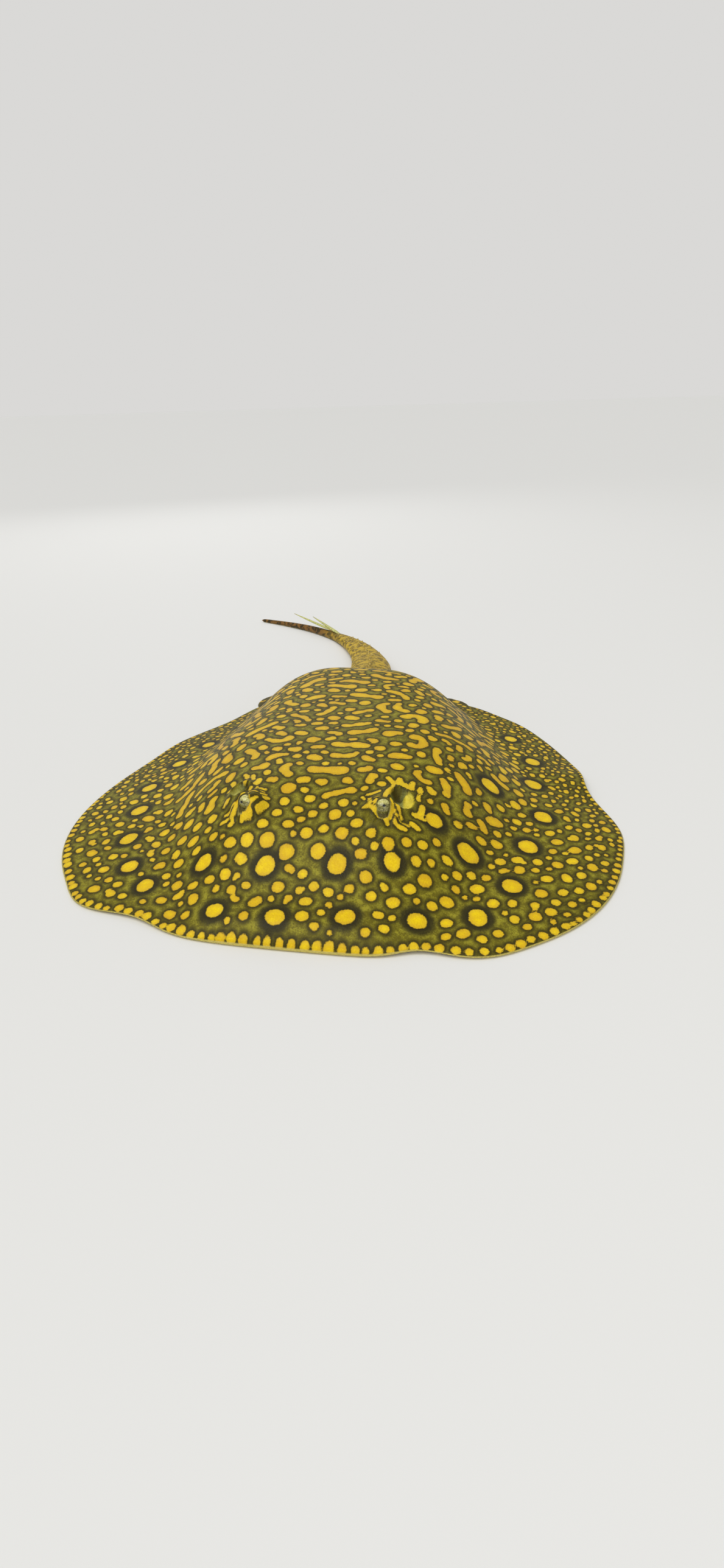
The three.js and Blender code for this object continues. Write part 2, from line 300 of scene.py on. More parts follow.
def belly_height(x, y):
    """The underside with mouth, nostrils, gills and vent."""
    z = plain_belly(x, y)
    mx = x - HEAD_SHIFT
    bow = MOUTH["y"] + MOUTH["sag"] * (1 - 2 * (mx / (MOUTH["wide"] / 2)) ** 2)
    inside = smooth((MOUTH["wide"] / 2 - np.abs(mx)) / 4)
    z = z + 3.2 * bell((y - bow) / 1.7) * inside
    z = z - 0.9 * bell((np.abs(y - bow) - 4.6) / 2.2) * inside * (z > 0.9)
    for side in (-1, 1):
        nx, ny = mx - side * 17, y - (MOUTH["y"] - 20)
        z = z + 3.0 * bell(nx / 3.6, ny / 2.6)
        z = z + 1.2 * bell((nx + side * 5) / 2.0, (ny - 9) / 8)
        for i in range(GILLS["count"]):
            t = i / (GILLS["count"] - 1)
            turn = math.radians(side * between(GILLS["turn"], t))
            gx = mx - side * between(GILLS["span"], t) / 2
            gy = y - between(GILLS["y"], t)
            run = gx * math.cos(turn) + gy * math.sin(turn)
            off = gy * math.cos(turn) - gx * math.sin(turn) + 0.02 * run**2
            z = z + SLIT_DEPTH * bell(off / 1.3) * smooth((GILLS["long"] / 2 + 1 - np.abs(run)) / 3)
    # the vent, between the pelvic fins
    return z + 3.0 * bell((x - spine_x(y)) / 2.6, (y - VENT_Y) / 9)


# ---- the tail's course


def tail_course(step=2.0):
    """Distance, x, y and heading of the tail's middle line on the floor."""
    rows = []
    x, y, s = TAIL["x"], TAIL["y"], 0.0
    while s <= TAIL["length"]:
        rows.append((s, x, y, tail_heading(s)))
        middle = tail_heading(s + step / 2)
        x, y = moved(x, y, middle, 0, step)
        s += step
    return np.array(rows)


def tail_heading(s):
    """Which way the tail runs, turned from +Y."""
    return math.radians(between(TAIL["headings"], smooth(s / TAIL["turned"])))


COURSE = tail_course()


def tail_frame(s):
    """Middle point and heading at distances along the tail."""
    return tuple(np.interp(s, COURSE[:, 0], COURSE[:, k]) for k in (1, 2, 3))


def tail_place(x, y):
    """Nearest distance along the tail, and offset to its side."""
    best = np.full(len(x), 1e9)
    found = np.zeros(len(x))
    offset = np.zeros(len(x))
    for s, cx, cy, heading in COURSE:
        d = np.hypot(x - cx, y - cy)
        near = d < best
        best[near] = d[near]
        found[near] = s
        offset[near] = ((x - cx) * math.cos(heading) + (y - cy) * math.sin(heading))[near]
    return found, offset


# ---- mesh helpers


def coordinates(mesh):
    flat = np.empty(len(mesh.vertices) * 3)
    mesh.vertices.foreach_get("co", flat)
    return flat.reshape(-1, 3)


def set_coordinates(mesh, points):
    mesh.vertices.foreach_set("co", np.ascontiguousarray(points, float).ravel())
    mesh.update()


def new_object(name, bm):
    mesh = bpy.data.meshes.new(name)
    bm.to_mesh(mesh)
    bm.free()
    piece = bpy.data.objects.new(name, mesh)
    bpy.context.scene.collection.objects.link(piece)
    return piece


def shade_smooth(piece):
    piece.data.polygons.foreach_set("use_smooth", [True] * len(piece.data.polygons))


def store(mesh, **fields):
    """Keeps numbers on the mesh's vertices, for its material."""
    for name, values in fields.items():
        attribute = mesh.attributes.new(name, "FLOAT", "POINT")
        attribute.data.foreach_set("value", np.ascontiguousarray(values, dtype=np.float32))


def square_to_round(a, b):
    """Even map of a square grid on the unit circle."""
    wide = np.abs(a) > np.abs(b)
    big = np.where(wide, a, b)
    ratio = np.divide(np.where(wide, b, a), big, out=np.zeros_like(a), where=np.abs(big) > 1e-9)
    turn = math.pi / 4 * ratio
    x = np.where(wide, big * np.cos(turn), big * np.sin(turn))
    y = np.where(wide, big * np.sin(turn), big * np.cos(turn))
    return x, y


def gather(x, y, centre, reach, pull):
    """Draws mesh points towards a place that needs finer cells."""
    dx, dy = x - centre[0], y - centre[1]
    hold = 1 - pull * bell(dx / reach, dy / reach)
    return centre[0] + dx * hold, centre[1] + dy * hold


def fit_to_opening(x, y, side):
    """Draws the nearest mesh points onto the edge of the lids' opening, so that it is clean."""
    out, back = eye_place(x, y, side)
    ring = opening_ring(out, back, side)
    eye = EYES[side]
    pull = np.where(np.abs(ring - 1) < HALF_CELL, 1.001 / np.maximum(ring, 0.5), 1)
    out = between((eye["out"], out), pull)
    back = between((eye["back"], back), pull)
    return eye_x(side) + side * out, EYE_Y + back


# ---- the skin


def disc_piece():
    """Back and belly as two grids, joined round the rim."""
    bm = bmesh.new()
    bmesh.ops.create_grid(bm, x_segments=BACK_CELLS, y_segments=BACK_CELLS, size=1.0,
                          matrix=Matrix.Translation((0, 0, 1)))
    below = bmesh.ops.create_grid(bm, x_segments=BELLY_CELLS, y_segments=BELLY_CELLS, size=1.0,
                                  matrix=Matrix.Translation((0, 0, -1)))
    bmesh.ops.reverse_faces(bm, faces=list({f for v in below["verts"] for f in v.link_faces}))
    bmesh.ops.bridge_loops(bm, edges=[e for e in bm.edges if e.is_boundary])
    bmesh.ops.recalc_face_normals(bm, faces=bm.faces)
    piece = new_object("skin", bm)
    px, py, pz = coordinates(piece.data).T
    top = pz > 0
    rim = top & (np.maximum(np.abs(px), np.abs(py)) > 1 - 1e-6)
    x, y = square_to_round(px, py)
    x, y = np.where(top, x, x * BELLY_REACH), np.where(top, y, y * BELLY_REACH)
    radius = disc_radius(np.arctan2(x, -y))
    x, y = x * radius, y * radius
    inner = top & ~rim
    for side in (-1, 1):
        hole = SPIRACLES[side]
        for (out, back), reach, pull in FINER_BACK + [((hole["x"], hole["y"]), 14, 0.25)]:
            gathered = gather(x, y, (HEAD_SHIFT + side * out, back), reach, pull)
            x, y = np.where(inner, gathered, (x, y))
    for side in (-1, 1):
        x, y = np.where(top, fit_to_opening(x, y, side), (x, y))
    for centre, reach, pull in FINER_BELLY:
        x, y = np.where(top, (x, y), gather(x, y, centre, reach, pull))
    high, low = back_height(x, y), belly_height(x, y)
    z = np.where(top, np.maximum(high, low + 1), low)
    z = np.where(rim, low + RIM_THICKNESS / 2, z)
    set_coordinates(piece.data, np.stack([x, y, z], 1) * MM)
    return piece


def bar_piece(name, sides, cuts):
    """A round bar of unit size, cut into rings along its length."""
    bm = bmesh.new()
    bmesh.ops.create_cone(bm, cap_ends=True, cap_tris=True, segments=sides, radius1=1, radius2=1, depth=1)
    lengthwise = [e for e in bm.edges if abs(e.verts[0].co.z - e.verts[1].co.z) > 0.5]
    bmesh.ops.subdivide_edges(bm, edges=lengthwise, cuts=cuts)
    return new_object(name, bm)


def ball_piece(name, round_cells, rise_cells):
    """A round ball of unit size."""
    bm = bmesh.new()
    bmesh.ops.create_uvsphere(bm, u_segments=round_cells, v_segments=rise_cells, radius=1)
    return new_object(name, bm)


def tail_piece():
    """A round bar drawn out along the tail's course."""
    piece = bar_piece("tail_bar", 28, 160)
    px, py, pz = coordinates(piece.data).T
    s = (0.5 - pz) * TAIL["length"]
    cx, cy, heading = tail_frame(s)
    width, height = along(TAIL_SIZE, s), along(TAIL_SIZE, s, 2)
    hidden = 1 - 0.1 * smooth((TAIL_ROOT - s) / TAIL_ROOT)
    tip = np.clip((s - TAIL["length"] + 9) / 9, 0, 1)
    hidden = hidden * (1 - 0.9 * tip**2.5)
    # the keel folds of the last stretch
    keel = smooth((s - 290) / 60)
    squeeze = 1 - 0.35 * keel * np.abs(py)
    out = px * width / 2 * hidden * squeeze
    level = np.maximum(height * (TAIL_AXIS + (1 - TAIL_AXIS) * py * hidden), 0)
    x, y = moved(cx, cy, heading, out)
    set_coordinates(piece.data, np.stack([x, y, level], 1) * MM)
    return piece


def pelvic_piece(side):
    """A rayed lobe of a pelvic fin, lying on the floor."""
    piece = ball_piece("pelvic_lobe", 48, 20)
    px, py, pz = coordinates(piece.data).T
    share = np.minimum(np.hypot(px, py), 1)
    angle = np.arctan2(py, side * px)
    reach = PELVIC["radius"] * (1 + PELVIC["corner"] * np.cos(3 * (angle - math.radians(PELVIC["turn"]))))
    rays = 0.12 * np.sin(26 * angle) * smooth((share - 0.55) / 0.3)
    top = between((PELVIC["edge"], PELVIC["root"]), 1 - share**2) + rays
    z = np.where(pz > 1e-6, top, np.where(pz < -1e-6, 0, PELVIC["edge"] / 2))
    x = spine_x(PELVIC["y"]) + side * PELVIC["x"] + px * reach
    set_coordinates(piece.data, np.stack([x, PELVIC["y"] + py * reach, z], 1) * MM)
    return piece


def join_solids(whole, other):
    """Unites another closed mesh with the first one."""
    cut = whole.modifiers.new("join", "BOOLEAN")
    cut.operation = "UNION"
    cut.solver = "MANIFOLD"
    cut.object = other
    bpy.context.view_layer.update()
    done = bpy.data.meshes.new_from_object(whole.evaluated_get(bpy.context.evaluated_depsgraph_get()))
    done.materials.clear()
    whole.modifiers.clear()
    whole.data = done
    bpy.data.objects.remove(other)


def soften(mesh, weight, rounds):
    """Evens out the mesh where weight is above zero."""
    points = coordinates(mesh)
    ends = np.empty(len(mesh.edges) * 2, int)
    mesh.edges.foreach_get("vertices", ends)
    a, b = ends.reshape(-1, 2).T
    count = np.bincount(a, minlength=len(points)) + np.bincount(b, minlength=len(points))
    for _ in range(rounds):
        total = np.zeros_like(points)
        for k in range(3):
            total[:, k] = (np.bincount(a, points[b, k], len(points))
                           + np.bincount(b, points[a, k], len(points)))
        points += weight[:, None] * 0.5 * (total / count[:, None] - points)
    set_coordinates(mesh, points)


# ---- the markings
RING_GUARD = 3.4               # the dark ring keeps other spots this far off
FAR = 30.0                     # distances to a spot stop here
# Ringed spots: angle from the snout in degrees, share of the radius, radius in mm.
RINGED = [(-16, 0.917, 5.8), (-4, 0.928, 6.1), (9, 0.906, 6.1), (22, 0.906, 6.1), (33, 0.867, 6.7),
          (44, 0.800, 7.1), (58, 0.722, 7.5), (74, 0.729, 7.4), (94, 0.766, 7.6), (111, 0.810, 6.9),
          (-35, 0.869, 5.9), (-43, 0.821, 6.6), (-54, 0.789, 6.6), (-67, 0.760, 6.9),
          (-81, 0.791, 6.6), (-26, 0.772, 6.1), (-10, 0.764, 6.8), (7, 0.743, 6.8), (20, 0.738, 5.7),
          (41, 0.659, 7.7), (36, 0.566, 6.1), (73, 0.541, 7.3), (-98, 0.80, 6.5), (-114, 0.81, 6.2),
          (129, 0.83, 6.2), (-131, 0.83, 6), (146, 0.80, 5.6), (-148, 0.81, 5.6)]
# Plain larger spots of the head.
HEAD_SPOTS = [(-12, 0.688, 5.3), (-6, 0.718, 5.2), (2, 0.708, 5.1), (20, 0.687, 4.4),
              (16, 0.650, 3.7), (-2, 0.655, 4.3), (8, 0.650, 4.6)]
# Pale patches by each eye and spiracle: from and to, in mm outwards and backwards, and radius.
LID_PATCHES = {
    1: [(-14.5, 1, -6.5, -6, 1.6), (-6.5, -6, 3, -9.8, 1.8), (-11.7, 9.5, -11.7, 7, 1.8),
        (-6.2, 0.8, -6, -2.2, 1.6), (-5.2, 8.8, -6.6, 6.8, 1.3), (-10.6, 3, -9.6, 0, 1.6),
        (-17, 11.5, -16, 10, 1.4), (-14, 15, -6, 19, 1.4), (3.2, 27, 0.7, 20, 1.9),
        (0.7, 20, -0.6, 10.5, 2.0), (4.2, 8, 6.8, -2, 1.5), (8, 5.5, 12.5, -2.6, 1.3),
        (9.5, -4.4, 18, -6.5, 0.8), (5.2, -4, 4.8, -6.6, 1.4), (8.8, -8.4, 16, -10.4, 1.7),
        (20.5, -3.5, 24.5, -5.5, 2.0), (-1.8, 37, 3, 31, 1.9), (6.9, 38, 6.9, 32, 2.3),
        (9.5, 31.5, 15.5, 30, 2.7), (16.7, 37, 16.7, 33, 2.0), (22.4, 24.5, 22.6, 21, 1.8),
        (22.8, 33, 22.8, 30, 2.3), (26, 15, 25.6, 8, 2.2), (21, 4.4, 27.5, 4.4, 1.8)],
    -1: [(-5, -12, 0, -12.6, 2.5), (-3.4, -9.6, -8.3, -1, 1.5), (4.4, 6, 7.2, -6, 1.7),
         (8.6, -3, 16.5, -4, 1.3), (8, -8.6, 9.2, -8.6, 2.0), (8.5, -14, 9.5, -14, 2.1),
         (13.4, -9.6, 17.5, -10.8, 1.5), (-6, 5, -1.5, 5, 1.6), (-9.5, 15.5, -6.5, 15, 1.7),
         (-10, 10.8, -8.2, 10.6, 1.0), (-9.8, 5.5, -12.2, 8.5, 1.2), (-12.8, 3, -14.5, 5.5, 1.7),
         (-10.4, -9, -15.5, -1, 2.1), (-3.2, -2, -2.8, -4.6, 0.8), (16.8, 5, 19.5, 6, 2.0),
         (-1.5, 21, -1.5, 28, 2.4), (-3.6, 17, -3, 10, 0.6), (3.2, 29, 5.4, 35, 1.7),
         (9, 33, 12.5, 38, 1.8), (8.6, 26, 8.6, 27, 2.1), (18.8, 17, 20.6, 21, 1.8),
         (18.6, 27, 20.5, 31, 2.0), (0.4, 15, 0.4, 9.4, 1.1)]}


class Markings:
    """Circles laid out so that they keep a gap between groups."""

    def __init__(self, most=9000):
        self.table = np.zeros((most, 5))       # x, y, radius, tone, ringed
        self.count = 0

    def used(self):
        return self.table[: self.count]

    def room(self, x, y, radius, gap):
        rows = self.used()
        if not len(rows):
            return True
        return bool(np.all(np.hypot(rows[:, 0] - x, rows[:, 1] - y) > rows[:, 2] + radius + gap))

    def add(self, x, y, radius, tone, ringed=0.0):
        self.table[self.count] = (x, y, radius, tone, ringed)
        self.count += 1

    def add_oval(self, x, y, radius, heading, stretch, tone, ringed=0.0):
        """An oval as three circles in a row."""
        reach = radius * (stretch - 1)
        for k in (-1, 0, 1):
            size = radius * (1 if k == 0 else 0.93) / (1 + 0.28 * (stretch - 1))
            self.add(*moved(x, y, heading, k * reach), size, tone, ringed)


def one(function, *given):
    """A shape function's value at a single place."""
    return float(function(*[np.array([float(v)]) for v in given])[0])


def ease(v):
    """The same as smooth, for one number."""
    v = min(max(v, 0), 1)
    return v * v * (3 - 2 * v)


def place_of(angle, share):
    """A place on the disc, from degrees and a share of the radius."""
    theta = math.radians(angle)
    reach = share * one(disc_radius, theta)
    return reach * math.sin(theta), -reach * math.cos(theta)


def kept_clear(x, y):
    """True by the eyes and spiracles, which have their own patches."""
    for side in (-1, 1):
        out, back = eye_place(x, y, side)
        if math.hypot(out, back) < 10 or math.hypot((out - 11) / 12, (back - 15.5) / 14.5) < 1:
            return True
    return False


def lay_row(marks, rng):
    """The row of spots just inside the front margin."""
    angle = -112.0
    while angle < 112:
        side = ease((abs(angle) - 45) / 50)
        radius = rng.uniform(2.3, 3.5) * (1 - 0.35 * side)
        theta = math.radians(angle)
        whole = one(disc_radius, theta)
        behind = one(back_height, (whole - 8) * math.sin(theta), (8 - whole) * math.cos(theta))
        steep = ease((behind - 4) / 5)         # on a steep edge the row moves outwards
        reach = whole - (radius + rng.uniform(0.2, 1.4)) * (1 - 0.62 * steep)
        marks.add(reach * math.sin(theta), -reach * math.cos(theta), radius, rng.uniform(0.5, 1))
        angle += math.degrees((2 * radius + rng.uniform(0.8, 3.4)) / reach)


def lay_lid_patches(marks, rng):
    """Pale folded skin round the eyes and spiracles."""
    for side in (-1, 1):
        for out, back, out_end, back_end, radius in LID_PATCHES[side]:
            steps = max(int(math.hypot(out_end - out, back_end - back) / (0.7 * radius)), 1)
            for k in range(steps + 1):
                x = eye_x(side) + side * between((out, out_end), k / steps)
                y = EYE_Y + between((back, back_end), k / steps)
                marks.add(x, y, radius * rng.uniform(0.88, 1.12), 0.95)


def bar_heading(x, y, rng):
    """Bars lie across the middle of the back and turn lengthwise on the flanks."""
    off = x - one(spine_x, y)
    turned = ease((abs(off) - 30) / 50)
    heading = turned * math.radians(78)
    if off < 0:
        heading = math.pi - heading
    return heading + rng.normal(0, 0.30 + 0.25 * turned)


def lay_bars(marks, rng, tries=4600):
    """Bars, commas and bent chains of the middle of the back."""
    for k in range(tries):
        x, y = rng.uniform(-135, 125), rng.uniform(-105, 240)
        across = abs(x - one(spine_x, y)) / float(along(BODY, np.array([y]), 2)[0])
        if across > 0.86 or rng.random() < 0.55 * ease((-y - 30) / 50):
            continue
        width = rng.uniform(2.6, 4.6) * (1 - 0.18 * ease((across - 0.4) / 0.4))
        heading = bar_heading(x, y, rng)
        if rng.random() < 0.5:
            heading += math.pi
        curl = rng.normal(0, 0.09)
        length = rng.uniform(4, 13) if rng.random() < 0.68 else rng.uniform(13, 24)
        if k < 90:
            length = rng.uniform(20, 32)
        if rng.random() < 0.2:
            curl = rng.choice([-1, 1]) * rng.uniform(0.14, 0.26)
        taper = rng.uniform(-0.45, 0.45)
        step = width * 0.5
        count = int(length / step)
        bar = []
        for n in range(count):
            share = n / max(count - 1, 1) - 0.5
            wave = 0.16 * math.sin(0.8 * n + 20 * curl)
            size = width * (1 + taper * share + wave) * rng.uniform(0.95, 1.05)
            if not marks.room(x, y, size, 2.9) or kept_clear(x, y):
                break
            bar.append((x, y, size))
            heading += curl + 0.10 * math.sin(0.5 * n + 9 * taper)
            x, y = moved(x, y, heading, step)
        if len(bar) * step < 4:
            continue
        tone = rng.uniform(0.1, 0.5)
        for spot in bar:
            marks.add(*spot, tone)


def lay_spots(marks, rng, tries=38000):
    """Round and oval spots everywhere else, from the largest to the smallest."""
    for k in range(tries):
        angle = rng.uniform(-180, 180)
        share = 1.14 * math.sqrt(rng.random())
        x, y = place_of(angle, share)
        edge = (1 - share) * MEAN_RADIUS
        if share > 1.03 and abs(angle) > 135 and marks.room(x, y, 1.7, 1.6):
            marks.add(x, y, rng.uniform(1.3, 2.2), 0.6)    # on the pelvic fins
            continue
        rear = ease((abs(angle) - 50) / 50)
        outer = ease((share - 0.64) / 0.22) * (0.10 + 0.90 * rear)
        stage = k / tries
        largest = between((4.9 - 2.1 * stage**0.6, 2.8 - 1.1 * stage), outer)
        smallest = between((3.4 - 1.7 * stage, 1.8 - 0.8 * stage), outer)
        radius = rng.uniform(smallest, largest)
        if edge < radius + 1.0:
            continue
        gap = between((3.1 - 1.1 * stage, 2.7 - 1.1 * stage), outer)
        if share < 0.6 and y > -90:
            gap = min(gap, 3.0)
        if kept_clear(x, y) or not marks.room(x, y, radius * 1.12, gap):
            continue
        tone = rng.uniform(0.35, 1.0) * (1 - 0.4 * ease((y + 90) / 80) * (share < 0.62))
        stretch = 1 + rng.uniform(0.05, 0.35) + 0.30 * outer
        heading = math.radians(angle) + rng.normal(0, 0.35)
        if share < 0.62 and y > -100:
            heading = bar_heading(x, y, rng)
        marks.add_oval(x, y, radius, heading, stretch, tone)
        if rng.random() < 0.14:
            beside = moved(x, y, rng.uniform(0, math.tau), radius * 1.15)
            marks.add(*beside, radius * rng.uniform(0.5, 0.8), tone)


def lay_markings():
    """All the markings, the ones with a fixed place first."""
    rng = np.random.default_rng(SEED)
    marks = Markings()
    for angle, share, radius in RINGED:
        slant = math.radians(angle) if abs(angle) < 30 else math.radians(90 + 18 * np.sign(angle))
        stretch = 1.22 if share > 0.7 and (abs(angle) > 50 or share > 0.85) else 1.06
        marks.add_oval(*place_of(angle, share), radius, slant, stretch, rng.uniform(0.55, 0.9), 1.0)
    ringed = marks.table[: marks.count]
    for angle, share, radius in HEAD_SPOTS:
        marks.add(*place_of(angle, share), radius, rng.uniform(0.4, 0.7))
    lay_lid_patches(marks, rng)
    ringed[:, 2] += RING_GUARD
    lay_row(marks, rng)
    lay_bars(marks, rng)
    lay_spots(marks, rng)
    ringed[:, 2] -= RING_GUARD
    return marks.used()


def spot_fields(x, y, marks):
    """Distance to the nearest spot's edge, its tone, and distance to the nearest ringed one."""
    nearest = np.full(len(x), FAR)
    tone = np.zeros(len(x))
    ringed = np.full(len(x), FAR)
    order = np.argsort(x)
    xs = x[order]
    for cx, cy, radius, shade, ring in marks:
        reach = radius + 13
        i, j = np.searchsorted(xs, (cx - reach, cx + reach))
        rows = order[i:j]
        rows = rows[np.abs(y[rows] - cy) < reach]
        d = np.hypot(x[rows] - cx, y[rows] - cy) - radius
        if ring:
            ringed[rows] = np.minimum(ringed[rows], d)
        closer = d < nearest[rows]
        nearest[rows[closer]] = d[closer]
        tone[rows[closer]] = shade
    return nearest, tone, ringed


def mark_skin(mesh):
    """Stores what the skin's material reads."""
    points = coordinates(mesh) / MM
    x, y, z = points.T
    theta, share = polar(x, y)
    s, offset = tail_place(x, y)
    on_tail = (s > 4) & (np.abs(offset) < along(TAIL_SIZE, s) / 2 + 1) & (share > 0.94)
    on_tail &= (z > 2.5) | (share > 1.004)
    inside = share < 1.0005
    top = inside & (z > (back_height(x, y) * 0.5 + belly_height(x, y) * 0.5 - 0.1))
    fin = ~inside & ~on_tail
    margin = np.where(fin, 8, np.clip((1 - share) * disc_radius(theta), 0, 300))
    top = top | (fin & (z > 1.2))
    nearest, tone, ringed = spot_fields(x, y, lay_markings())
    tailness = smooth((s - TAIL_ROOT + 26) / 26) * (np.abs(offset) < along(TAIL_SIZE, s) / 2 + 2)
    tailness = np.where(on_tail, np.maximum(tailness, 0.3), tailness * (share > 0.9))
    height = along(TAIL_SIZE, s, 2)
    under_tail = smooth((0.16 * height - z) / (0.10 * height))
    belly = np.where(on_tail, under_tail, np.where(top, 0.0, 1.0))
    lining, valve, lid, pit, lobe = (np.zeros(len(x)) for _ in range(5))
    for side in (-1, 1):
        out, back = spiracle_place(x, y, side)
        rim = np.hypot(out, back)
        lining = np.maximum(lining, smooth((0.99 - rim) / 0.12))
        bulge = np.abs((out - 0.55) / 0.50) ** 3 + np.abs((back + 0.05) / 0.85) ** 3
        shown = SPIRACLES[side]["valve"] / SPIRACLES[side]["deep"] - 0.3
        valve = np.maximum(valve, shown * smooth((1.1 - bulge) / 0.5) * smooth((1.06 - rim) / 0.1))
        # painted shade: the medial rear of each spiracle's pit is darkened where its shadow falls
        pit = np.maximum(pit, smooth((back - 0.1) / 0.55) * smooth((0.4 - out) / 0.6) * (rim < 1.2))
        lobe = np.maximum(lobe, smooth(1.4 - np.hypot((out + 0.35) / 0.26, (back + 0.35) / 0.46)))
        ring = opening_ring(*eye_place(x, y, side), side)
        # lid: one at the lids' opening, for the pale lid skin and the painted shade of the crease round
        # the eyeball
        lid = np.maximum(lid, smooth((1.22 - ring) / 0.22))
    back = belly < 0.5
    groove = (belly_height(x, y) - plain_belly(x, y)) / SLIT_DEPTH * ~back
    store(mesh, spot=nearest, tone=tone, ringed=ringed, margin=margin, belly=belly, groove=groove,
          edge_line=smooth(1 - margin / 1.2), tail=tailness, tail_run=s / TAIL["length"],
          lining=lining * back, valve=valve * back, lid=lid * back, pit=pit * back, lobe=lobe * back)
    return on_tail, fin


def unwrap_skin(mesh, on_tail, fin):
    """A plan of the back, and smaller ones of the belly, tail and pelvic fins."""
    points = coordinates(mesh) / MM
    s, offset = tail_place(points[:, 0], points[:, 1])
    loops = np.empty(len(mesh.loops), int)
    mesh.loops.foreach_get("vertex_index", loops)
    starts = np.empty(len(mesh.polygons), int)
    totals = np.empty(len(mesh.polygons), int)
    mesh.polygons.foreach_get("loop_start", starts)
    mesh.polygons.foreach_get("loop_total", totals)
    face_of = np.repeat(np.arange(len(totals)), totals)

    def most(flags):
        return (np.bincount(face_of, flags[loops].astype(float)) / totals > 0.5)[face_of]

    normals = np.empty(len(mesh.polygons) * 3)
    mesh.polygons.foreach_get("normal", normals)
    up = (normals.reshape(-1, 3)[:, 2] > 0)[face_of]
    x, y = points[loops, 0], points[loops, 1]
    uv = np.empty((len(loops), 2))

    def lay(where, u, v):
        uv[where, 0], uv[where, 1] = u[where], v[where]

    tail = most(on_tail)
    s, offset = s[loops], offset[loops]
    lay(x > -1e9, 0.004 + (x + 228) / 628, 0.004 + (y + 226) / 628)
    lay(~up & ~tail, 0.735 + (x + 228) / 1760, 0.715 + (y + 226) / 1760)
    lay(tail & up, 0.79 + offset / 628, s / 700)
    lay(tail & ~up, 0.88 + offset / 1000, s / 700)
    lay(most(fin) & up, 0.06 + (x + 160) / 900, 0.80 + (y - 140) / 900)
    layer = mesh.uv_layers.new(name="OFBake")
    layer.data.foreach_set("uv", np.clip(uv, 0.001, 0.999).astype(np.float32).ravel())


def skin_piece():
    """One closed skin over every node of flesh."""
    skin = disc_piece()
    for part in (pelvic_piece(-1), pelvic_piece(1), tail_piece()):
        join_solids(skin, part)
    points = coordinates(skin.data) / MM
    s, offset = tail_place(points[:, 0], points[:, 1])
    near = np.exp(-(((s - TAIL_ROOT + 14) / 16) ** 2)) * (np.abs(offset) < 40) * (points[:, 2] > 3)
    soften(skin.data, near * (points[:, 1] > 205), 16)
    on_tail, fin = mark_skin(skin.data)
    unwrap_skin(skin.data, on_tail, fin)
    shade_smooth(skin)
    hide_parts("head", "trunk", "pectoral_fin_right", "pectoral_fin_left", "pelvic_fin_right",
                "pelvic_fin_left", "tail_base", "tail_middle", "tail_tip")
    return skin


# ---- material helpers


class Nodes:
    """Short calls for the nodes of one tree."""

    def __init__(self, tree):
        self.tree = tree

    def add(self, kind, **settings):
        node = self.tree.nodes.new(kind)
        for key, value in settings.items():
            setattr(node, key, value)
        return node

    def feed(self, socket, value):
        if isinstance(value, bpy.types.NodeSocket):
            self.tree.links.new(value, socket)
        else:
            socket.default_value = value

    def math(self, operation, a, b):
        node = self.add("ShaderNodeMath", operation=operation)
        self.feed(node.inputs[0], a)
        self.feed(node.inputs[1], b)
        return node.outputs[0]

    def times(self, a, b):
        return self.math("MULTIPLY", a, b)

    def plus(self, a, b):
        return self.math("ADD", a, b)

    def ramp(self, value, low, high, start=0.0, end=1.0):
        node = self.add("ShaderNodeMapRange", interpolation_type="SMOOTHSTEP")
        for socket, given in zip(node.inputs, (value, low, high, start, end)):
            self.feed(socket, given)
        return node.outputs[0]

    def mix(self, share, a, b):
        node = self.add("ShaderNodeMix", data_type="RGBA")
        self.feed(node.inputs[0], share)
        self.feed(node.inputs[6], a)
        self.feed(node.inputs[7], b)
        return node.outputs[2]

    def read(self, name):
        return self.add("ShaderNodeAttribute", attribute_name=name).outputs["Fac"]

    def place(self):
        return self.add("ShaderNodeTexCoord").outputs["Object"]

    def noise(self, where, size, detail=3.0, roughness=0.55):
        """Noise whose grain is about size millimetres."""
        node = self.add("ShaderNodeTexNoise")
        self.feed(node.inputs["Vector"], where)
        node.inputs["Scale"].default_value = 1.0 / (size * MM)
        node.inputs["Detail"].default_value = detail
        node.inputs["Roughness"].default_value = roughness
        return node.outputs["Fac"]

    def cells(self, where, size):
        node = self.add("ShaderNodeTexVoronoi")
        self.feed(node.inputs["Vector"], where)
        node.inputs["Scale"].default_value = 1.0 / (size * MM)
        return node.outputs["Distance"]


def srgb(red, green, blue):
    """A linear colour from display values of 0 to 255."""
    def linear(v):
        v /= 255
        return v / 12.92 if v <= 0.04045 else ((v + 0.055) / 1.055) ** 2.4
    return (linear(red), linear(green), linear(blue), 1.0)


def new_group(name, inputs, outputs):
    """A node group whose sockets are numbers, except Place."""
    group = bpy.data.node_groups.new(name, "ShaderNodeTree")
    for way, labels in (("INPUT", inputs), ("OUTPUT", outputs)):
        for label in labels:
            kind = "NodeSocketVector" if label == "Place" else "NodeSocketFloat"
            group.interface.new_socket(name=label, in_out=way, socket_type=kind)
    nodes = Nodes(group)
    return group, nodes, nodes.add("NodeGroupInput").outputs, nodes.add("NodeGroupOutput").inputs


def use_group(nodes, group, **values):
    node = nodes.add("ShaderNodeGroup", node_tree=group)
    for label, value in values.items():
        nodes.feed(node.inputs[label], value)
    return node.outputs


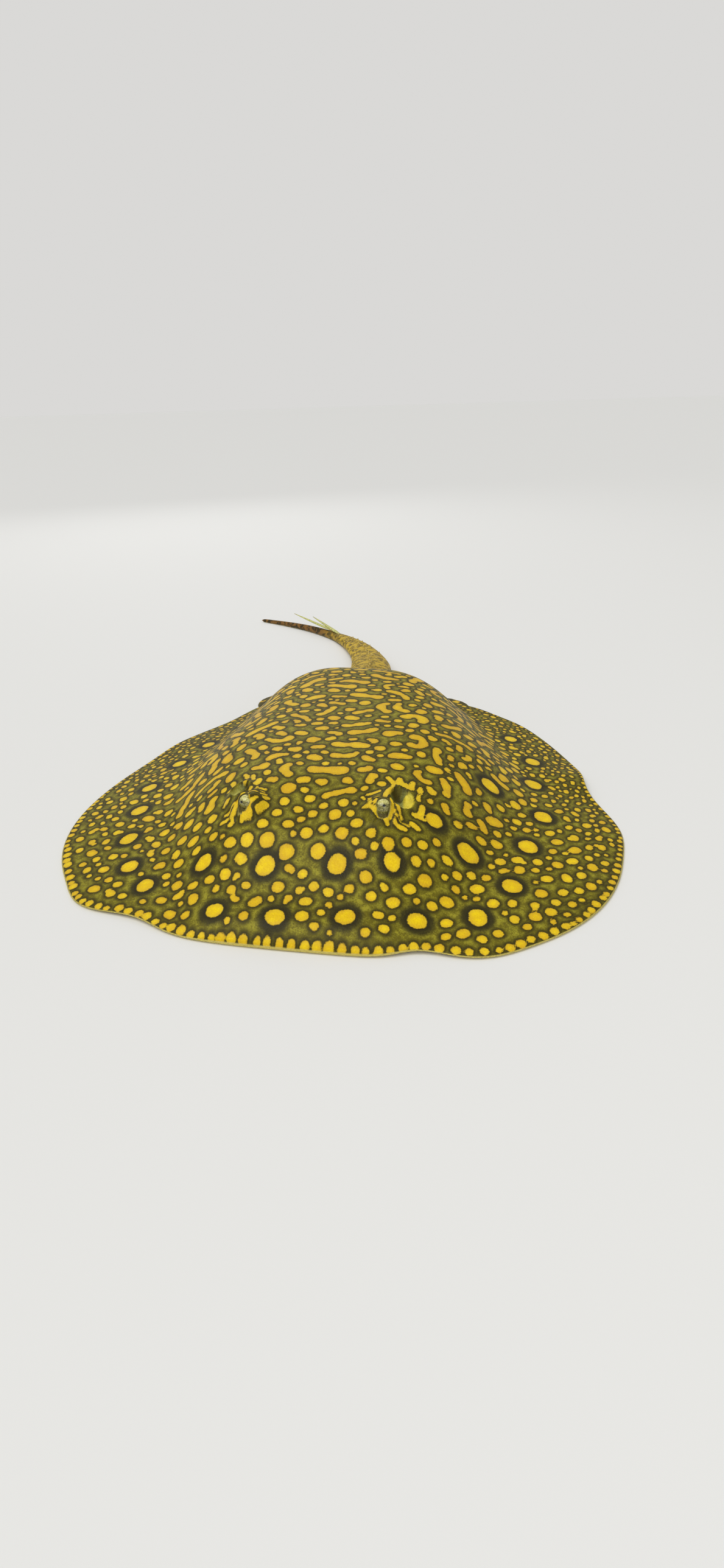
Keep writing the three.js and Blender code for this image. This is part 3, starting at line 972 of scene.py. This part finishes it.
def skin_grain_group():
    """Tiny denticles and soft creases, as a height and a mottle."""
    group, n, given, out = new_group("skin_grain", ("Place", "Grain"), ("Height", "Mottle"))
    pebbles = n.ramp(n.cells(given["Place"], 1.3), 0.1, 0.75, 1.0, 0.0)
    fine = n.noise(given["Place"], 0.9, 2.0)
    soft = n.noise(given["Place"], 14, 3.0)
    height = n.times(n.plus(pebbles, n.times(fine, 0.6)), given["Grain"])
    height = n.plus(height, n.times(soft, 1.4))
    mottle = n.plus(n.times(n.noise(given["Place"], 5.5, 4.0, 0.62), 0.65),
                    n.times(n.noise(given["Place"], 1.1, 2.0), 0.35))
    n.feed(out["Height"], height)
    n.feed(out["Mottle"], mottle)
    return group


def ragged_edge_group():
    """A distance in mm, made uneven and turned into a mask of the inside."""
    group, n, given, out = new_group("ragged_edge", ("Place", "Distance", "Soft"),
                                     ("Inside", "Distance"))
    wave = n.times(n.math("SUBTRACT", n.noise(given["Place"], 7, 2.0), 0.5), 2.6)
    teeth = n.times(n.math("SUBTRACT", n.noise(given["Place"], 1.2, 2.0), 0.5), 1.15)
    uneven = n.plus(given["Distance"], n.plus(wave, teeth))
    n.feed(out["Inside"], n.ramp(uneven, given["Soft"], n.times(given["Soft"], -1.0)))
    n.feed(out["Distance"], uneven)
    return group


GRAIN = skin_grain_group()
RAGGED = ragged_edge_group()


def new_material(name):
    material = bpy.data.materials.new(name)
    material.use_nodes = True
    nodes = Nodes(material.node_tree)
    return material, nodes, material.node_tree.nodes["Principled BSDF"]


def bump(nodes, shader, height, strength, depth_mm):
    """Fine relief of the surface."""
    node = nodes.add("ShaderNodeBump")
    node.inputs["Strength"].default_value = strength
    node.inputs["Distance"].default_value = depth_mm * MM
    nodes.feed(node.inputs["Height"], height)
    nodes.feed(shader.inputs["Normal"], node.outputs[0])


def skin_material():
    """Olive-brown skin with amber spots, dark round each; pale below; painted shade in the spiracles'
    pits, round the eyeballs and along the belly by the rim.
    """
    material, n, shader = new_material("stingray_skin")
    place = n.place()
    grain = use_group(n, GRAIN, Place=place, Grain=0.8)
    mottle = grain["Mottle"]
    edge = use_group(n, RAGGED, Place=place, Distance=n.read("spot"), Soft=0.5)
    distance, inside = edge["Distance"], edge["Inside"]
    ringed = n.read("ringed")

    # the ground: darkest beside the spots, olive and mottled in the open
    open_skin = n.ramp(distance, 0.6, 5.0)
    patch = n.ramp(mottle, 0.40, 0.62)
    dark, olive, light = srgb(60, 53, 8), srgb(106, 97, 14), srgb(160, 151, 40)
    ground = n.mix(n.times(patch, open_skin), olive, light)
    ground = n.mix(n.ramp(distance, 0.2, 3.4), dark, ground)
    ring = n.times(n.ramp(ringed, 7.5, 3.2), 0.85)
    ground = n.mix(ring, ground, srgb(40, 35, 12))

    # the spots: amber at the edge, yellow inside
    depth = n.times(distance, -1.0)
    amber = n.mix(n.read("tone"), srgb(216, 172, 20), srgb(236, 202, 34))
    yellow = n.mix(n.read("tone"), srgb(230, 186, 16), srgb(255, 222, 10))
    spot = n.mix(n.ramp(depth, 0.3, 3.4), amber, yellow)
    spot = n.mix(n.times(n.ramp(mottle, 0.62, 0.4), 0.30), spot, srgb(200, 140, 30))
    back = n.mix(inside, ground, spot)

    # the thin pale fringe of the margin
    margin = n.read("margin")
    cream_edge = srgb(226, 208, 112)
    edge_line = n.ramp(n.read("edge_line"), 0.42, 0.78)
    back = n.mix(edge_line, back, cream_edge)

    # the tail: fine yellow and brown marbling, darker and redder to its tip
    run = n.read("tail_run")
    marbled = n.ramp(n.noise(place, 7.5, 4.0, 0.6), 0.44, 0.56)
    speck = n.ramp(n.noise(place, 2.6, 3.0, 0.6), 0.45, 0.58)
    tail_skin = n.mix(n.math("MAXIMUM", marbled, n.times(speck, 0.6)),
                      srgb(104, 86, 24), srgb(206, 172, 44))
    tip = n.mix(marbled, srgb(62, 50, 26), srgb(134, 96, 46))
    tail_skin = n.mix(n.ramp(run, 0.52, 0.72), tail_skin, tip)
    back = n.mix(n.read("tail"), back, tail_skin)

    # the spiracle's lining, with painted shade deep in its pit, and its pale valve
    lining = n.mix(n.ramp(mottle, 0.4, 0.6), srgb(138, 142, 76), srgb(172, 176, 104))
    lining = n.mix(n.read("lobe"), lining, srgb(180, 150, 72))
    # painted shade in the medial rear of the pit
    lining = n.mix(n.read("pit"), lining, srgb(78, 70, 30))
    back = n.mix(n.read("lining"), back, lining)
    back = n.mix(n.read("valve"), back, n.mix(mottle, srgb(250, 214, 26), srgb(255, 238, 80)))
    # pale lid skin, turning dark at the lids' opening: the dark part is painted shade in the crease round
    # the eyeball
    lid_skin_and_crease_shade = n.mix(n.ramp(n.read("lid"), 0.25, 0.75), srgb(160, 148, 74), srgb(92, 82, 36))
    back = n.mix(n.ramp(n.read("lid"), 0.02, 0.3), back, lid_skin_and_crease_shade)

    # the underside: cream, olive towards the margin with pale flecks
    cream = n.mix(n.ramp(mottle, 0.35, 0.65), srgb(226, 218, 190), srgb(240, 234, 212))
    shade = n.mix(n.ramp(n.noise(place, 6, 3.0), 0.5, 0.6), srgb(112, 100, 62), srgb(206, 192, 140))
    outer = n.ramp(n.plus(margin, n.times(n.noise(place, 30, 2.0), 40.0)), 58, 34)
    below = n.mix(outer, cream, shade)
    below = n.mix(n.ramp(n.read("groove"), 0.12, 0.75), below, srgb(122, 82, 62))
    # painted shade: a darker olive strip of the underside, 2 to 6 mm inside the rim, for the shadow under
    # the margin
    below = n.mix(n.ramp(margin, 6.0, 2.0), below, srgb(120, 106, 52))
    below = n.mix(edge_line, below, cream_edge)
    below = n.mix(n.times(n.read("tail"), 0.8), below, shade)
    colour = n.mix(n.read("belly"), back, below)
    n.feed(shader.inputs["Base Color"], colour)

    rough = n.plus(n.times(mottle, 0.22), n.times(inside, -0.05))
    n.feed(shader.inputs["Roughness"], n.plus(rough, 0.40))
    shader.inputs["Specular IOR Level"].default_value = 0.16
    shader.inputs["Coat Weight"].default_value = 0.06
    shader.inputs["Coat Roughness"].default_value = 0.25
    raised = n.plus(grain["Height"], n.times(inside, 0.5))
    bump(n, shader, raised, 0.55, 0.35)
    return material


def eye_material():
    """Cream and olive streaked iris, paler cream on top as painted light, dark pupil with its fringed
    veil, wet surface.
    """
    material, n, shader = new_material("wet_eye")
    gaze, pupil = n.read("gaze"), n.read("pupil")
    where = n.add("ShaderNodeCombineXYZ")
    for socket, value, stretch in zip(where.inputs, (n.read("ray_x"), n.read("ray_y"), gaze),
                                      (2.6, 2.6, 3.4)):
        n.feed(socket, n.times(value, stretch))
    streak = n.add("ShaderNodeTexNoise")
    n.feed(streak.inputs["Vector"], where.outputs[0])
    streak.inputs["Scale"].default_value = 2.2
    streak.inputs["Detail"].default_value = 3.0
    line = n.ramp(streak.outputs["Fac"], 0.42, 0.6)
    iris = n.mix(line, srgb(104, 100, 48), srgb(166, 160, 92))
    cream = n.mix(line, srgb(190, 184, 104), srgb(232, 226, 142))
    # painted light: the upper part of the ball is paler cream and its lower part stays olive, as if lit
    # from above
    iris = n.mix(n.ramp(n.read("upward"), 0.12, 0.42), iris, cream)
    white = n.mix(n.ramp(gaze, 0.62, 0.85), iris, srgb(104, 96, 48))
    eye = n.mix(n.ramp(pupil, 0.35, -0.35), white, srgb(10, 11, 8))
    n.feed(shader.inputs["Base Color"], eye)
    n.feed(shader.inputs["Roughness"], n.ramp(streak.outputs["Fac"], 0.2, 0.8, 0.10, 0.2))
    shader.inputs["Coat Weight"].default_value = 0.5
    shader.inputs["Coat Roughness"].default_value = 0.03
    bump(n, shader, line, 0.06, 0.08)
    return material


def dentine_material():
    """Pale satin dentine with long fine grooves, browner at the root."""
    material, n, shader = new_material("sting_dentine")
    place = n.place()
    run = n.read("run")
    streak = n.noise(place, 2.2, 4.0)
    body = n.mix(n.ramp(streak, 0.4, 0.62), srgb(172, 170, 88), srgb(214, 214, 130))
    body = n.mix(n.ramp(run, 0.16, 0.0), body, srgb(150, 122, 56))
    body = n.mix(n.ramp(run, 0.86, 1.0), body, srgb(160, 152, 84))
    n.feed(shader.inputs["Base Color"], body)
    n.feed(shader.inputs["Roughness"], n.ramp(streak, 0.3, 0.7, 0.3, 0.48))
    bump(n, shader, streak, 0.3, 0.2)
    return material


def thorn_material():
    """Horn-coloured enamel with darker specks."""
    material, n, shader = new_material("thorn_enamel")
    speck = n.noise(n.place(), 1.6, 3.0)
    horn = n.mix(n.ramp(speck, 0.4, 0.6), srgb(150, 122, 48), srgb(222, 196, 96))
    n.feed(shader.inputs["Base Color"], horn)
    n.feed(shader.inputs["Roughness"], n.ramp(speck, 0.3, 0.7, 0.28, 0.5))
    bump(n, shader, speck, 0.3, 0.15)
    return material


# ---- eyes, stings and thorns


def eye_piece(side, name):
    """An eyeball whose pole looks outwards, forwards and up."""
    piece = ball_piece(name, 64, 40)
    points = coordinates(piece.data)
    px, py, pz = points.T
    tilt = np.arccos(np.clip(pz, -1, 1))
    clock = np.arctan2(py, px)
    # pupil: a flat oval with a scalloped veil over its upper side
    oval = np.hypot(px / 1.2, py) - 0.15
    veil = 0.035 * np.cos(np.clip(px / 0.05, -9, 9)) + 0.02 - py
    pupil = np.maximum(oval, -(veil + 0.10))
    pupil = np.where(pz > 0, pupil, 1)
    # upward: height across the ball, which the eye's material uses for its painted light on top
    store(piece.data, gaze=tilt / (math.pi / 2), ray_x=np.cos(clock), ray_y=np.sin(clock),
          pupil=pupil * 10, upward=py)
    cornea = 1 + 0.03 * np.exp(-((tilt / 0.5) ** 2))
    gaze = Vector(EYES[side]["gaze"]).normalized()
    turn = gaze.to_track_quat("Z", "Y").to_matrix()
    ball = BALLS[side]
    centre = np.array([eye_x(side) + side * ball["out"], EYE_Y + ball["back"], EYE_Z + ball["up"]])
    turned = (points * cornea[:, None] * ball["radius"]) @ np.array(turn).T + centre
    set_coordinates(piece.data, turned * MM)
    shade_smooth(piece)
    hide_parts(name.replace("ball", ""))
    return piece


def sting_piece(index, name, node):
    """A flat spine with a row of barbs down each edge."""
    piece = bar_piece(name, 16, 180)
    px, py, pz = coordinates(piece.data).T
    t = 0.5 - pz
    long = STING["long"][index]
    cx, cy, _ = (float(v) for v in tail_frame(STING["along"][index]))
    heading = math.radians(STING["heading"][index])
    taper = np.minimum(1, 0.55 + 2 * t) * (1 - 0.82 * t**2.4)
    barb = 1 - (t * 30) % 1
    edge = np.abs(px) ** 3
    width = STING["wide"] / 2 * taper * (0.80 + 0.20 * edge * barb * smooth((t - 0.12) / 0.1))
    groove = 1 - 0.28 * bell(px / 0.22)
    out = px * width
    run = long * t
    level = (STING["above"] + index * 1.2 + math.tan(math.radians(STING["lift"])) * run
             + py * STING["thick"] / 2 * taper * groove * 0.94)
    x, y = moved(cx, cy, heading, out, run)
    store(piece.data, run=t)
    set_coordinates(piece.data, np.stack([x, y, level], 1) * MM)
    shade_smooth(piece)
    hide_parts(node)
    return piece


def thorns_piece():
    """Small hooked thorns down the middle and the sides of the tail's thick part."""
    rng = np.random.default_rng(SEED + 1)
    bm = bmesh.new()
    rows = [(0.0, 14, 238, 8.5, 2.5)]
    rows += [(side * 0.62, 50, 235, 13, 1.7) for side in (-1, 1)]
    for across, start, end, pace, tall in rows:
        s = start
        while s < end:
            cx, cy, heading = (float(v) for v in tail_frame(s))
            width, height = float(along(TAIL_SIZE, s)), float(along(TAIL_SIZE, s, 2))
            lean = across + rng.normal(0, 0.05)
            level = height * between((TAIL_AXIS, 1), math.sqrt(1 - lean**2)) - THORN_ROOT
            size = tall * rng.uniform(0.75, 1.15) * (1 if s > 40 else 0.7)
            made = bmesh.ops.create_cone(bm, cap_ends=True, cap_tris=True, segments=8, radius1=1,
                                         radius2=0.12, depth=1.0)
            for vert in made["verts"]:
                rise = vert.co.z + 0.5
                vert.co = Vector((vert.co.x * size * 0.75, vert.co.y * size * 1.1 + rise**2 * size * 0.9,
                                  rise * size))
            stand = Matrix.Translation(Vector((*moved(cx, cy, heading, lean * width / 2), level)))
            spot = stand @ Matrix.Rotation(heading, 4, "Z") @ Matrix.Rotation(lean * 0.9, 4, "Y")
            bmesh.ops.transform(bm, matrix=spot, verts=made["verts"])
            s += pace * rng.uniform(0.8, 1.25)
    bmesh.ops.scale(bm, vec=(MM, MM, MM), verts=bm.verts)
    piece = new_object("tail_thorns", bm)
    shade_smooth(piece)
    return piece


# ---- dressing the model


def finish(piece, material):
    """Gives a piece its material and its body."""
    piece.data.materials.append(material)
    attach(piece, "root")


def dress():
    """Every piece of the model, with its finish."""
    finish(skin_piece(), skin_material())
    wet = eye_material()
    for side, word in ((-1, "right"), (1, "left")):
        finish(eye_piece(side, "eyeball_" + word), wet)
    dentine = dentine_material()
    for index, word in enumerate(("front", "rear")):
        finish(sting_piece(index, "barbed_sting_" + word, "sting_" + word), dentine)
    finish(thorns_piece(), thorn_material())


# ---- camera, floor and light
IMAGE_WIDE, IMAGE_HIGH = 1189, 2576
FOCAL_PIXELS = 1249
SENSOR = 36.0
CAMERA_AT = (114.2, -590.1, 313.4)                   # mm
CAMERA_LOOK = (-0.15479, 0.87867, -0.45165)
CAMERA_ROLL = -1.80                                  # degrees
FLOOR_HALF = 40.0                                    # m, far enough to hide the floor's end
FLOOR_GAP = 0.0003                                   # m, below the belly
LIGHT_COLOUR = (1.0, 0.99, 0.97, 1)
SKY_LIGHT = 0.44
WALL_LIGHT = 0.70                                    # what the camera sees behind the floor
KEY_LIGHT = 1.35
KEY_SPREAD = 50                                      # degrees


def aim_camera():
    """The camera, from its place, its line of sight and its roll."""
    data = bpy.data.cameras.new("camera")
    data.sensor_fit = "AUTO"
    data.sensor_width = SENSOR
    data.lens = FOCAL_PIXELS * SENSOR / max(IMAGE_WIDE, IMAGE_HIGH)
    data.clip_start = 0.01
    camera = bpy.data.objects.new("camera", data)
    forward = Vector(CAMERA_LOOK).normalized()
    side = forward.cross(Vector((0, 0, 1))).normalized()
    up = side.cross(forward)
    roll = math.radians(CAMERA_ROLL)
    right = side * math.cos(roll) + up * math.sin(roll)
    upward = up * math.cos(roll) - side * math.sin(roll)
    turn = Matrix((right, upward, -forward)).transposed().to_4x4()
    camera.matrix_world = Matrix.Translation(Vector(CAMERA_AT) * MM) @ turn
    bpy.context.scene.collection.objects.link(camera)
    bpy.context.scene.camera = camera


def lay_floor():
    """A wide plain floor just below the belly."""
    bm = bmesh.new()
    bmesh.ops.create_grid(bm, x_segments=2, y_segments=2, size=FLOOR_HALF,
                          matrix=Matrix.Translation((0, 0, -FLOOR_GAP)))
    floor = new_object("floor", bm)
    material, _, shader = new_material("pale_floor")
    shader.inputs["Base Color"].default_value = (0.86, 0.86, 0.84, 1)
    shader.inputs["Roughness"].default_value = 0.75
    floor.data.materials.append(material)


def hang_lamp(name, kind, place, power):
    """A lamp that points from its place at the model."""
    data = bpy.data.lights.new(name, kind)
    data.energy = power
    lamp = bpy.data.objects.new(name, data)
    lamp.location = place
    lamp.rotation_euler = (-Vector(place)).to_track_quat("-Z", "Y").to_euler()
    bpy.context.scene.collection.objects.link(lamp)
    return data


def light_scene():
    """A soft sky, one broad key light from above and two weak fills."""
    world = bpy.data.worlds.new("studio")
    world.use_nodes = True
    n = Nodes(world.node_tree)
    wall = n.add("ShaderNodeBackground")
    both = n.add("ShaderNodeMixShader")
    n.feed(both.inputs[0], n.add("ShaderNodeLightPath").outputs["Is Camera Ray"])
    shades = ((world.node_tree.nodes["Background"], SKY_LIGHT), (wall, WALL_LIGHT))
    for socket, (shade, strength) in zip(both.inputs[1:], shades):
        shade.inputs["Color"].default_value = LIGHT_COLOUR
        shade.inputs["Strength"].default_value = strength
        n.feed(socket, shade.outputs[0])
    n.feed(world.node_tree.nodes["World Output"].inputs["Surface"], both.outputs[0])
    bpy.context.scene.world = world
    hang_lamp("key", "SUN", (-0.35, -0.3, 1.0), KEY_LIGHT).angle = math.radians(KEY_SPREAD)
    hang_lamp("front_fill", "AREA", (0.9, -1.6, 0.9), 5).size = 1.2
    hang_lamp("back_fill", "AREA", (-0.8, 1.7, 1.1), 3).size = 1.2
    bpy.context.scene.view_settings.view_transform = "Standard"


aim_camera()
lay_floor()
light_scene()
dress()
